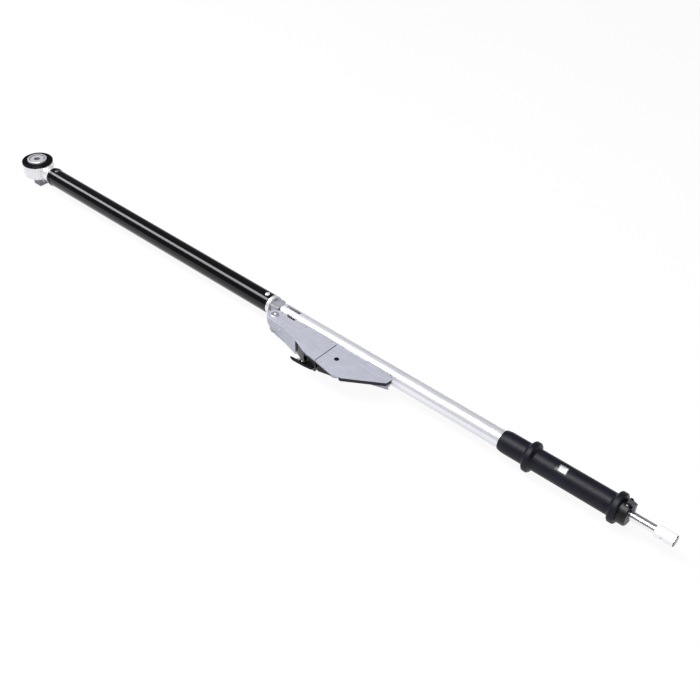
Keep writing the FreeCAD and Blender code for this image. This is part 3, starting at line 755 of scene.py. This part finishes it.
def make_scale():
    """Ticks, every fifth one long and numbered, on the card that moves under the window."""
    bm = bmesh.new()
    numbered = range(1, TICKS, 5)
    for i in range(TICKS):
        stop, width = LONG_TICK if i in numbered else SHORT_TICK
        add_tick(bm, FIRST_TICK + TICK_STEP * i, stop, width)
    for k, i in enumerate(numbered):
        add_label(bm, FIRST_TICK + TICK_STEP * i, str(FIRST_NUMBER + NUMBER_STEP * k))
    bmesh.ops.recalc_face_normals(bm, faces=bm.faces)
    piece_from("scale_marks", bm, FINISHES["scale_ink"], BODY_OF["scale_card"])


# ---------------------------------------------------------------- springs

# Each half of the main spring, where it ends, and the body that presses it there.
MAIN_SPRING = (("front", 911.0, "push_rod"), ("rear", 1088.0, "setting_nut"))

# Each small spring, the joint that shortens it, its axis, the end that stays put, and the share left.
SMALL_SPRINGS = (
    ("button_spring", "button_press", (0, 0, 1), (0.0, 0.0, 6.4), 0.69),
    ("pawl_spring", "pawl_pivot", (1, 0, 0), (27.9, 4.5, 1.0), 0.30),
)


def make_main_spring():
    """The main spring cut into two halves that meet at its middle."""
    middle = ALONG * sum(end for _, end, _ in MAIN_SPRING) / len(MAIN_SPRING) * MM
    for half, end, body in MAIN_SPRING:
        bm = shape_of("main_spring")
        everything = bm.verts[:] + bm.edges[:] + bm.faces[:]
        cut = bmesh.ops.bisect_plane(
            bm,
            geom=everything,
            plane_co=middle,
            plane_no=ALONG,
            clear_outer=half == "front",
            clear_inner=half == "rear",
        )
        rim = [part for part in cut["geom_cut"] if isinstance(part, bmesh.types.BMEdge)]
        bmesh.ops.holes_fill(bm, edges=rim)
        made = piece_from("main_spring_" + half, bm, finish_of("main_spring"))
        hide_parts("main_spring")
        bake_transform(made)


def make_small_springs():
    """The button's and the pawl's springs, each a copy of its CAD node's shape."""
    for node, joint, axis, held_end, keep in SMALL_SPRINGS:
        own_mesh(stand_in(node, shape_of(node)))


# ---------------------------------------------------------------- which nodes get what

# How far each node's edges are rounded off, in mm.
EASED = {
    "ratchet_head": 0.5,
    "cover_ring": 0.25,
    "ratchet_gear": 0.12,
    "square_drive": 0.25,
    "hub_cap": 0.25,
    "top_plate": 0.6,
    "rear_cover": 0.6,
    "cover_trim": 0.3,
    "bottom_plate": 0.6,
    "side_wall": 0.3,
    "rear_spacer": 0.4,
    "lever_tail": 0.5,
    "tail_hook": 0.4,
    "bell_crank": 0.3,
    "adjuster_hex": 0.3,
    "end_cap": 0.4,
    "lock_lever": 0.35,
    "grip": 0.8,
    "rear_collar": 0.4,
    "front_ferrule": 0.3,
    "scale_window": 0.2,
}

# The nodes whose finish isn't simply their slot's.
OWN_FINISH = {
    "lever_tail": "forged_tail",
    "adjuster_screw": "polished_steel",
    "adjuster_hex": "bright_hex",
    "tube_rivets": "rivet_steel",
    "lock_lever": "spring_steel",
    "ratchet_gear": "turned_steel",
    "hub_cap": "turned_steel",
    "release_button": "spring_steel",
    "housing_screws": "plate_steel",
}


def finish_nodes():
    """Makes every piece that stands for a node, and gives the nodes that stay their slots' finishes."""
    for node, width in EASED.items():
        eased(node, width)
    make_housing_screws()
    make_cap_screws()
    make_rivets()
    make_fulcrum_pin()
    make_crank_pin()
    make_cross_pin("lock_pin", 1.5, 7.4, LOCK_PIN_AT)
    make_cross_pin("hex_pin", 1.6, 8.2, HEX_PIN_AT)
    make_release_button()
    make_adjuster()
    make_scale()
    make_main_spring()
    make_small_springs()
    for node, thing in NODES.items():
        thing.data.materials.clear()
        thing.data.materials.append(FINISHES[SLOT_OF[node]])


finish_nodes()


# ---------------------------------------------------------------- stage, light and camera

# The camera's place, its angles in radians, and its lens and sensor in mm.
CAMERA_AT = Vector((1.6173, -0.9507, 1.0411))
CAMERA_TURN = -0.6935
CAMERA_PITCH = 0.6998
CAMERA_ROLL = 0.0395
CAMERA_LENS = 52.0
SENSOR = 36.0

FLOOR_GAP = 0.0006
FLOOR_HALF = 9.0
FLOOR_MIDDLE_X = 0.6
FLOOR_GLOW = 0.93
WORLD_GLOW = 0.155

# The strip light hangs beside the lever, above its -Y side, and faces it.
STRIP_X = -0.35
STRIP_DEGREES_UP = 70
STRIP_DISTANCE = 1.6
STRIP_SIZE = (4.2, 0.70)
STRIP_WATTS = 98.0


def make_camera():
    """The camera beside and above the grip end, looking back along the lever."""
    across = math.cos(CAMERA_PITCH)
    look = Vector((across * math.sin(CAMERA_TURN), across * math.cos(CAMERA_TURN), -math.sin(CAMERA_PITCH)))
    level = Vector((math.cos(CAMERA_TURN), -math.sin(CAMERA_TURN), 0.0))
    upward = level.cross(look)
    right = level * math.cos(CAMERA_ROLL) + upward * math.sin(CAMERA_ROLL)
    top = upward * math.cos(CAMERA_ROLL) - level * math.sin(CAMERA_ROLL)
    data = bpy.data.cameras.new("camera")
    data.lens = CAMERA_LENS
    data.sensor_width = SENSOR
    data.clip_start = 0.05
    data.clip_end = 60.0
    camera = bpy.data.objects.new("camera", data)
    bpy.context.scene.collection.objects.link(camera)
    turn = Matrix((right, top, -look)).transposed()
    camera.matrix_world = Matrix.Translation(CAMERA_AT) @ turn.to_4x4()
    bpy.context.scene.camera = camera


def make_floor():
    """A large plain pale floor just under the drive square's end, which glows, so shadows hardly show."""
    bm = bmesh.new()
    bmesh.ops.create_grid(bm, x_segments=8, y_segments=8, size=FLOOR_HALF)
    mesh = bpy.data.meshes.new("floor")
    bm.to_mesh(mesh)
    bm.free()
    floor = bpy.data.objects.new("floor", mesh)
    floor.location = (FLOOR_MIDDLE_X, 0.0, CAD_BOX[0][2] - FLOOR_GAP)
    bpy.context.scene.collection.objects.link(floor)
    paint = Finish("floor", (0.06, 0.06, 0.06), 0.9, specular=0.0)
    paint.vary_colour(paint.noise(3, detail=3), (0.055, 0.055, 0.055))
    paint.set("Emission Color", (1.0, 1.0, 1.0, 1.0))
    paint.set("Emission Strength", FLOOR_GLOW)
    floor.data.materials.append(paint.material)


def make_strip_light():
    """A long soft light whose reflection runs along the tubes."""
    data = bpy.data.lights.new("strip", "AREA")
    data.shape = "RECTANGLE"
    data.size, data.size_y = STRIP_SIZE
    data.energy = STRIP_WATTS
    lamp = bpy.data.objects.new("strip", data)
    up = math.radians(STRIP_DEGREES_UP)
    back = Vector((0.0, -math.cos(up), math.sin(up)))
    turn = Matrix((ALONG, back.cross(ALONG), back)).transposed()
    lamp.matrix_world = Matrix.Translation(ALONG * STRIP_X + back * STRIP_DISTANCE) @ turn.to_4x4()
    bpy.context.scene.collection.objects.link(lamp)


def make_world():
    """A dim surround of an even cool white."""
    world = bpy.data.worlds.new("studio")
    world.use_nodes = True
    background = world.node_tree.nodes["Background"]
    background.inputs["Color"].default_value = (0.97, 0.97, 1.0, 1.0)
    background.inputs["Strength"].default_value = WORLD_GLOW
    bpy.context.scene.world = world


make_camera()
make_floor()
make_world()
make_strip_light()
bpy.context.scene.view_settings.view_transform = "Standard"
